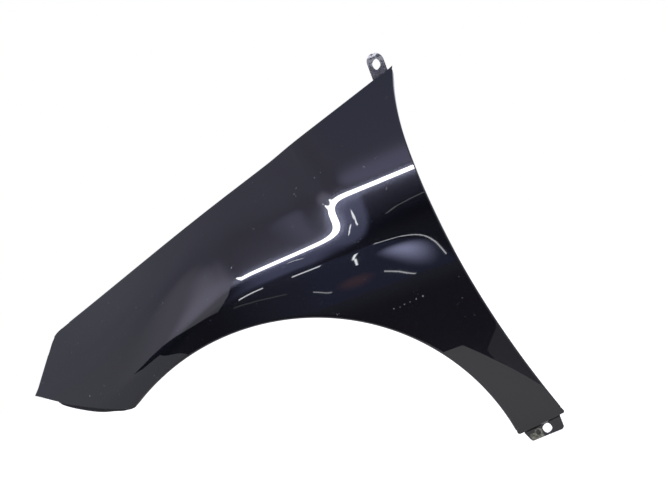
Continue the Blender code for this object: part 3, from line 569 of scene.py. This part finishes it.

# Fender panel: its paint.
# Dark blue base coat with fine metal flake under clear lacquer; storage has left dust, faint rub
# marks, a few chips and a scratch in it, and one pale dot on the bumper strip's edge is a painted
# highlight.  The inner side has only thin primer; the same dark primer on the bumper strip's face is
# painted shade.
# The last point here, on the bumper strip's lower edge, is a painted highlight; the others are chips.
CHIPS_AND_HIGHLIGHT = ((0.192, 0.542, 1.3), (0.153, 0.529, 1.3), (0.134, 0.481, 1.1), (0.1335, 0.483, 1.0),
         (0.076, 0.499, 1.2), (0.190, 0.498, 1.1), (-0.263, 0.340, 1.4), (-0.234, 0.348, 1.2),
         (0.348, 0.322, 1.2), (0.342, 0.289, 1.3), (-0.215, 0.302, 1.2))
SCRATCH = ((0.286, 0.3125, 2.1), (0.2750, 0.3121, 1.8), (0.2642, 0.3107, 1.5), (0.2551, 0.3104, 1.7),
           (0.2473, 0.3087, 1.5), (0.2374, 0.3095, 1.7))
MARK_RADIUS, MARK_FADE, MARK_RAGGEDNESS = 0.0008, 0.0013, 0.0014


class Signal:
    """A socket of a node tree; an expression on signals and numbers adds Math nodes."""

    def __init__(self, tree, socket=None):
        self.tree, self.socket = tree, socket

    def node(self, kind, settings=None, sockets=None, output=0):
        """Adds a node of this kind: its settings first, then the values or links of its sockets."""
        made = self.tree.nodes.new(kind)
        for name, value in (settings or {}).items():
            setattr(made, name, value)
        for name, value in (sockets or {}).items():
            if isinstance(value, Signal):
                self.tree.links.new(value.socket, made.inputs[name])
            else:
                made.inputs[name].default_value = value
        return Signal(self.tree, made.outputs[output])

    def math(self, operation, first, second=0.0):
        """A Math node with this operation."""
        return self.node("ShaderNodeMath", {"operation": operation}, {0: first, 1: second})

    def __add__(self, other):
        return self.math("ADD", self, other)

    def __sub__(self, other):
        return self.math("SUBTRACT", self, other)

    def __rsub__(self, other):
        return self.math("SUBTRACT", other, self)

    def __mul__(self, other):
        return self.math("MULTIPLY", self, other)

    def __truediv__(self, other):
        return self.math("DIVIDE", self, other)

    def __rtruediv__(self, other):
        return self.math("DIVIDE", other, self)

    __radd__, __rmul__ = __add__, __mul__

    def step(self, low, high):
        """Zero below the low value and one above the high one, with an easy curve between."""
        return self.node("ShaderNodeMapRange", {"interpolation_type": "SMOOTHSTEP"},
                         {"Value": self, "From Min": low, "From Max": high})

    def part(self, axis):
        """One of the three parts of a vector."""
        return self.node("ShaderNodeSeparateXYZ", None, {"Vector": self}, output=axis)

    def noise(self, scale, detail, roughness=0.5):
        """Blender's noise at this place, at a scale per metre."""
        return self.node("ShaderNodeTexNoise", None,
                         {"Vector": self, "Scale": scale, "Detail": detail, "Roughness": roughness})

    def mix(self, first, second):
        """The first colour where this signal is zero, the second where it is one."""
        return self.node("ShaderNodeMix", {"data_type": "RGBA"}, {"Factor": self, 6: first, 7: second},
                         output=2)

    def relief(self, strength, distance=0.0003):
        """The normal of a surface that this signal raises."""
        return self.node("ShaderNodeBump", None, {"Strength": strength, "Distance": distance, "Height": self})


def new_material(name, **constants):
    """A Principled material with constants on its sockets, its shader, and the piece's own coordinates."""
    material = bpy.data.materials.new(name)
    material.use_nodes = True
    shader = material.node_tree.nodes["Principled BSDF"]
    for socket, value in constants.items():
        shader.inputs[socket.replace("_", " ")].default_value = value
    return material, shader, Signal(material.node_tree).node("ShaderNodeTexCoord", output=3)


def drive(shader, **signals):
    """Links each signal to the shader's socket of that name."""
    for socket, signal in signals.items():
        signal.tree.links.new(signal.socket, shader.inputs[socket.replace("_", " ")])


paint, shader, place = new_material("dark_blue_paint", Metallic=0.92, IOR=1.45, Coat_Weight=1.0,
                                    Coat_Roughness=0.014, Coat_IOR=1.5)
flake = place.noise(2600.0, 1.0)
cloud = place.noise(9.0, 3.0)
grain = place.noise(900.0, 2.0)
dust = (place.noise(420.0, 1.0) * place.noise(60.0, 2.0)).step(0.47, 0.53)
drawn_out = place.node("ShaderNodeMapping", None,
                       {"Vector": place, "Scale": (1.0, 1.0, 0.12), "Rotation": (0.0, 0.5, 0.0)})
rub = drawn_out.noise(700.0, 2.0).step(0.70, 0.76) * cloud.step(0.50, 0.62)
chips_and_highlight = 0.0
for x, z, size in CHIPS_AND_HIGHLIGHT + SCRATCH:
    mark_place = Vector((x, float(depth(x, z)), z)) + WHEEL_CENTRE
    away = place.node("ShaderNodeVectorMath", {"operation": "DISTANCE"}, {0: place, 1: mark_place}, output=1)
    spot = 1 - (away + grain * MARK_RAGGEDNESS).step(MARK_RADIUS * size, MARK_FADE * size)
    chips_and_highlight = place.math("MAXIMUM", chips_and_highlight, spot)
base = flake.step(0.35, 0.75).mix((0.0019, 0.0020, 0.0036, 1.0), (0.0046, 0.0048, 0.0088, 1.0))
base = (dust * 0.55).mix(base, (0.16, 0.16, 0.17, 1.0))
base = (rub * 0.10).mix(base, (0.20, 0.20, 0.22, 1.0))
# Pale grey marks: real chips and a scratch, and one painted highlight on the bumper strip's edge.
base = (chips_and_highlight * 0.8).mix(base, (0.42, 0.42, 0.46, 1.0))
drive(shader, Base_Color=base, Roughness=0.20 + 0.05 * cloud + 0.2 * dust, Normal=grain.relief(0.10, 0.0002))

# This primer also darkens the bumper strip's outer face as painted shade.
primer_and_shade, shader, place = new_material("inner_primer_and_painted_shade", Metallic=0.0, Coat_Weight=0.0, Specular_IOR_Level=0.15)
spray = place.noise(6.0, 4.0)
speck = place.noise(350.0, 2.0)
base = spray.step(0.35, 0.65).mix((0.008, 0.008, 0.010, 1.0), (0.014, 0.015, 0.022, 1.0))
base = (speck.step(0.66, 0.74) * 0.3).mix(base, (0.10, 0.10, 0.10, 1.0))
drive(shader, Base_Color=base, Roughness=0.42 + 0.2 * spray, Normal=speck.relief(0.25, 0.0002))

for coat in (paint, primer_and_shade):
    panel.data.materials.append(coat)
    punches.data.materials.append(coat)
settle(panel)
bpy.data.objects.remove(punches)
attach(panel, "root")
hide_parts("fender_panel")

# Cowl bracket.
# A stepped strip of steel with an oblong eye, spot-welded behind the bonnet gap's wall.  It was
# sprayed with the body, and a bolt and handling have worn its eye and edges to bare metal.  A pale
# band along its top is a painted highlight.
EYE_DEPTH = 0.020
PAINTED_HIGHLIGHT_DEPTH = 0.0065

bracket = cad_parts["cowl_bracket"]
bracket_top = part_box("cowl_bracket")[1].z
bare, shader, place = new_material("worn_bracket_steel", Coat_Weight=0.35, Coat_Roughness=0.15)
height = place.part(2)
blotch = place.noise(160.0, 4.0)
fine = place.noise(900.0, 3.0)
worn = (height - (bracket_top - EYE_DEPTH) + 0.016 * (blotch - 0.5)).step(-0.004, 0.004)
steel = fine.mix((0.10, 0.10, 0.115, 1.0), (0.30, 0.30, 0.33, 1.0))
# The top few millimetres of the eye are painted near white: a painted highlight over the steel.
steel = (height - (bracket_top - PAINTED_HIGHLIGHT_DEPTH)).step(0.0, 0.003).mix(steel, (0.60, 0.60, 0.63, 1.0))
steel = (blotch.step(0.50, 0.58) * 0.85).mix(steel, (0.035, 0.035, 0.045, 1.0))
sprayed = fine.step(0.42, 0.66).mix((0.012, 0.012, 0.018, 1.0), (0.13, 0.13, 0.16, 1.0))
drive(shader, Base_Color=worn.mix(sprayed, steel), Roughness=0.35 + 0.25 * fine, Metallic=0.55 + 0.4 * worn,
      Normal=(blotch + 0.3 * fine).relief(0.3))
bracket.data.materials.clear()
bracket.data.materials.append(bare)

# Sill clip nut.
# A spring steel clip folded over the sill tab, with a thread drawn in its back.  Its zinc has gone dull
# and olive grey with road dirt.
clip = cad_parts["sill_clip_nut"]
zinc, shader, place = new_material("dull_zinc", Coat_Weight=0.0)
mottle = place.noise(260.0, 4.0, 0.6)
grit = place.noise(1400.0, 2.0)
base = mottle.step(0.38, 0.62).mix((0.070, 0.070, 0.052, 1.0), (0.22, 0.22, 0.185, 1.0))
base = (grit.step(0.55, 0.70) * 0.5).mix(base, (0.035, 0.032, 0.026, 1.0))
drive(shader, Base_Color=base, Roughness=0.45 + 0.3 * mottle, Metallic=0.85 - 0.4 * mottle,
      Normal=mottle.relief(0.4))
clip.data.materials.clear()
clip.data.materials.append(zinc)

# Studio: its white surroundings.
# A white floor under the panel and pale walls that dim towards the ceiling, with soft patches where a
# lamp lights them.  The camera sees plain white there, and only the lacquer shows the walls.
scene.view_settings.view_transform = "Standard"
WALL_GLOWS = ((-20.0, 54.0, 19.0, 2.0, (0.62, 0.60, 0.78, 1.0)),
              (-58.0, 37.0, 14.0, 2.0, (1.15, 1.10, 1.35, 1.0)),
              (-30.0, 23.0, 13.0, 2.0, (1.20, 1.18, 1.40, 1.0)),
              (-43.5, 34.5, 15.0, 1.0, (2.14, 2.09, 2.63, 1.0)),
              (5.0, 57.0, 12.0, 3.0, (1.35, 1.35, 2.05, 1.0)))
FLOOR_REACH = 12
WHITE = (1.0, 1.0, 1.0, 1.0)


def ray_kinds(tools):
    """One for camera rays, one for glossy rays and one for rays that pass through glass."""
    return [tools.node("ShaderNodeLightPath", output=kind) for kind in (0, 3, 6)]


world = bpy.data.worlds.new("studio")
scene.world = world
world.use_nodes = True
tools = Signal(world.node_tree)
seen, glossy, clear = ray_kinds(tools)
heading = tools.node("ShaderNodeTexCoord", output=0)
aside, behind, rise = (heading.part(axis) for axis in range(3))
walls = rise.step(0.50, 0.72).mix((0.84, 0.86, 0.98, 1.0), (0.68, 0.67, 0.88, 1.0))
walls = (rise.step(0.90, 0.96) * aside.step(-0.10, -0.02)).mix(walls, (0.52, 0.56, 0.82, 1.0))
walls = behind.step(0.0, 0.15).mix(walls, (0.59, 0.61, 0.74, 1.0))
for *angles, colour in WALL_GLOWS:
    turn, height, outer, inner = (math.radians(angle) for angle in angles)
    towards = (math.cos(height) * math.sin(turn), -math.cos(height) * math.cos(turn), math.sin(height))
    nearness = tools.node("ShaderNodeVectorMath", {"operation": "DOT_PRODUCT"},
                          {0: heading, 1: towards}, output=1)
    walls = nearness.step(math.cos(outer), math.cos(inner)).mix(walls, colour)
plain = tools.math("MAXIMUM", seen, clear)
sky = tools.math("MAXIMUM", plain, glossy).mix((0.55, 0.55, 0.55, 1.0), walls)
background = world.node_tree.nodes["Background"]
background.inputs["Strength"].default_value = 1.0
world.node_tree.links.new(plain.mix(sky, WHITE).socket, background.inputs["Color"])


def stage_material(name):
    """An empty node material, and the tools of its tree."""
    material = bpy.data.materials.new(name)
    material.use_nodes = True
    material.node_tree.nodes.remove(material.node_tree.nodes["Principled BSDF"])
    return material, Signal(material.node_tree)


def stage_sheet(name, points, material, shader, faces=None, hidden=True):
    """A flat sheet of the studio with this shader; a hidden one is seen only in reflections."""
    shader.tree.links.new(shader.socket, shader.tree.nodes["Material Output"].inputs["Surface"])
    mesh = bpy.data.meshes.new(name)
    mesh.from_pydata(points, [], faces or [tuple(range(len(points)))])
    mesh.materials.append(material)
    sheet = bpy.data.objects.new(name, mesh)
    scene.collection.objects.link(sheet)
    if hidden:
        sheet.visible_camera = sheet.visible_diffuse = sheet.visible_shadow = False


def emission(tools, colour, strength=1.0):
    """Light of this colour and strength."""
    return tools.node("ShaderNodeEmission", None, {"Color": colour, "Strength": strength})


def about_wheel(points):
    """The points, taken from the wheel centre, as places in the scene."""
    return [Vector(point) + WHEEL_CENTRE for point in points]


paper, tools = stage_material("white_floor")
seen, glossy, clear = ray_kinds(tools)
matt = tools.node("ShaderNodeBsdfDiffuse", None, {"Color": (0.80, 0.80, 0.80, 1.0)})
glow = emission(tools, (1.0, 0.99, 1.08, 1.0), 0.75 * tools.math("MAXIMUM", seen, clear) + 0.38 * glossy)
stage_sheet("floor", [(x * FLOOR_REACH, y * FLOOR_REACH, cad_box[0][2])
                      for x, y in ((-1, -1), (1, -1), (1, 1), (-1, 1))],
            paper, tools.node("ShaderNodeAddShader", None, {0: matt, 1: glow}), hidden=False)

# Studio: the dark room behind the camera.
# Only the lacquer shows it: a dark floor beyond the white paper, a near black wall with dim lilac
# parts, a red patch and a soft round lamp, and thin tube lamps.
FLOOR_SHEET_HEIGHT = 0.043
ROOM_FLOORS = (
    ("dark_floor", (0.14, 0.125, 0.17, 1.0), (0.24, 0.25, 0.33, 1.0),
     ((-1.90, -3.2), (0.75, -3.2), (0.44, -0.75), (0.393, -0.55), (0.393, -0.44), (0.36, -0.69),
      (-0.75, -0.69))),
    ("grey_floor", (0.44, 0.43, 0.50, 1.0), (0.44, 0.43, 0.50, 1.0),
     ((0.75, -3.2), (1.00, -3.2), (0.60, -0.75), (0.50, -0.19), (0.46, -0.05), (0.43, -0.19),
      (0.393, -0.44), (0.393, -0.55), (0.44, -0.75))))
WALL_Y = -3.2
ROOM_WALL = ((-7.40, 4.60), (-6.04, 3.61), (-4.93, 2.92), (-4.47, 2.62), (-2.92, 1.07), (-1.98, 0.14),
             (-1.20, -0.64), (-1.20, -1.00), (0.95, -1.00), (0.95, 3.20), (-1.90, 3.20), (-1.67, 2.16),
             (-1.52, 1.32), (-1.55, 0.876), (-2.45, 1.54), (-3.12, 2.08), (-4.07, 2.85), (-5.27, 3.675),
             (-6.30, 4.22), (-7.10, 4.49))
ROUND_LAMP, ROUND_LAMP_RADII, ROUND_LAMP_LEAN = (0.43, 0.180), (0.085, 0.066), 0.6
RED_PATCH, RED_PATCH_RADII = (0.225, 0.11), (0.075, 0.032)
TUBE_COLOUR = (0.93, 0.96, 1.0, 1.0)
TUBES = ((((-1.10, 0.73), (-0.675, 0.765)), 0.09, 0.09, 12.0),
         (((-0.265, 0.70), (0.105, 0.67)), 0.08, 0.075, 13.0),
         (((-0.053, 0.138), (0.133, 0.101)), 0.007, 0.005, 6.0),
         (((-0.366, 2.465), (-0.247, 2.383), (-0.124, 2.198)), 0.040, 0.022, 18.0),
         (((0.230, 0.342), (0.227, 0.495)), 0.008, 0.010, 20.0),
         (((0.236, 0.344), (0.245, 0.222)), 0.008, 0.007, 20.0),
         (((0.288, 0.524), (0.344, 0.464), (0.420, 0.394), (0.477, 0.300), (0.509, 0.232)),
          0.018, 0.006, 9.0),
         (((0.509, 0.232), (0.543, 0.146), (0.563, 0.085)), 0.006, 0.005, 9.0),
         (((0.333, 0.106), (0.386, 0.082), (0.437, 0.050)), 0.0045, 0.0055, 9.0),
         (((0.331, 2.022), (0.383, 2.150), (0.452, 2.209), (0.516, 2.234)), 0.022, 0.027, 1.6),
         (((-1.157, 0.469), (-0.889, 0.333), (-0.610, 0.255), (-0.380, 0.212)), 0.038, 0.014, 0.9))


def oval(x, z, middle, radii, lean=0.0):
    """Distance from the middle of a leaning oval, one at its rim."""
    across = (x - middle[0]) / radii[0]
    up = (z - middle[1] + lean * (x - middle[0])) / radii[1]
    return across.math("SQRT", across * across + up * up)


def wheel_place(tools):
    """Across and up of the shaded place, from the wheel centre."""
    place = tools.node("ShaderNodeTexCoord", output=3)
    return place.part(0) - WHEEL_CENTRE.x, place.part(2) - WHEEL_CENTRE.z


for name, near, far, outline in ROOM_FLOORS:
    cloth, tools = stage_material(name)
    y = tools.node("ShaderNodeTexCoord", output=3).part(1)
    colour = y.step(WHEEL_CENTRE.y - 3.2, WHEEL_CENTRE.y - 2.0).mix(far, near)
    stage_sheet(name, about_wheel((x, y, FLOOR_SHEET_HEIGHT) for x, y in outline), cloth,
                emission(tools, colour))

cloth, tools = stage_material("dark_room")
x, z = wheel_place(tools)
solid = 1 - z.step(2.75, 3.20) * x.step(-2.3, -2.0)
upper = z.step(0.75, 1.4) * (1 - x.step(0.04, 0.20)) * x.step(-1.75, -0.50)
lower = z.step(-0.25, 0.05) * x.step(-1.6, -0.2) * (1 - (z + 1.516 * x).step(0.919, 0.999))
round_lamp = 1 - oval(x, z, ROUND_LAMP, ROUND_LAMP_RADII, ROUND_LAMP_LEAN).step(0.0, 1.5)
red = 1 - oval(x, z, RED_PATCH, RED_PATCH_RADII).step(0.3, 1.2)
lilac = x.step(-0.30, 0.15).mix((0.22, 0.24, 0.37, 1.0), (0.24, 0.27, 0.50, 1.0))
colour = z.step(0.5, 1.8).mix((0.10, 0.10, 0.14, 1.0), (0.03, 0.03, 0.05, 1.0))
colour = upper.mix(colour, (0.94, 1.00, 1.70, 1.0))
colour = (lower * (1 - upper)).mix(colour, lilac)
colour = red.mix(colour, (0.68, 0.43, 0.57, 1.0))
colour = round_lamp.mix(colour, (4.1, 4.3, 6.7, 1.0))
nothing = tools.node("ShaderNodeBsdfTransparent")
stage_sheet("dark_room", about_wheel((x, WALL_Y, z) for x, z in ROOM_WALL), cloth,
            tools.node("ShaderNodeMixShader", None, {0: solid, 1: nothing, 2: emission(tools, colour)}))

for number, (points, first_width, last_width, radiance) in enumerate(TUBES):
    line = np.array(points)
    along = np.gradient(line, axis=0)
    across = unit(np.stack([-along[:, 1], along[:, 0]], axis=-1))
    count = len(line)
    half = 0.5 * np.linspace(first_width, last_width, count)[:, None]
    ring = np.vstack([line + half * across, (line - half * across)[::-1]])
    faces = [(i, i + 1, 2 * count - 2 - i, 2 * count - 1 - i) for i in range(count - 1)]
    glass, tools = stage_material(f"tube_{number}")
    stage_sheet(f"tube_{number}", about_wheel((x, WALL_Y + 0.01, z) for x, z in ring), glass,
                emission(tools, TUBE_COLOUR, radiance), faces)

# Studio: the long lamp.
# One long soft lamp above the camera slopes up to the rear.  It lights the panel and draws the bright
# bent line; its left end is rounded, and a faint haze lies around it.
LAMP_Y = -1.9
LAMP_SLOPE = 0.12
LAMP_MIDDLE = (0.01, LAMP_Y, 2.095 + LAMP_SLOPE * 0.01)
LAMP_LENGTH, LAMP_WIDTH, LAMP_RADIANCE = 1.68, 0.235, 53.0
LAMP_END = ((-0.82, 2.114), (-0.82, 1.92), (-0.87, 2.00), (-0.92, 2.10), (-0.97, 2.20), (-1.01, 2.27),
            (-0.98, 2.28), (-0.92, 2.21))
LAMP_END_RADIANCE = 42.0
HAZE_HEIGHT = 2.087
HAZE_CORNERS = ((-1.3, -0.6), (1.2, -0.6), (1.2, 0.6), (-1.3, 0.6))
HAZE_STRENGTH = 2.2

light = bpy.data.lights.new("long_lamp", "AREA")
light.shape = "RECTANGLE"
light.size, light.size_y = LAMP_LENGTH, LAMP_WIDTH
light.energy = LAMP_RADIANCE * math.pi * LAMP_LENGTH * LAMP_WIDTH
long_lamp = bpy.data.objects.new("long_lamp", light)
scene.collection.objects.link(long_lamp)
long_lamp.matrix_world = facing_panel(Vector(LAMP_MIDDLE) + WHEEL_CENTRE, -math.atan(LAMP_SLOPE))

glass, tools = stage_material("lamp_end")
stage_sheet("lamp_end", about_wheel((x, LAMP_Y, z) for x, z in LAMP_END), glass,
            emission(tools, WHITE, LAMP_END_RADIANCE))

haze, tools = stage_material("lamp_haze")
x, z = wheel_place(tools)
aside = z - HAZE_HEIGHT - LAMP_SLOPE * x
thick = (1 - aside.step(0.08, 0.46)) * aside.step(-0.38, -0.08) * x.step(-1.25, -0.80)
glow = emission(tools, (0.80, 0.84, 1.20, 1.0), thick * HAZE_STRENGTH)
nothing = tools.node("ShaderNodeBsdfTransparent")
stage_sheet("lamp_haze", about_wheel((x, LAMP_Y - 0.01, HAZE_HEIGHT + LAMP_SLOPE * x + side)
                                     for x, side in HAZE_CORNERS),
            haze, tools.node("ShaderNodeAddShader", None, {0: glow, 1: nothing}))
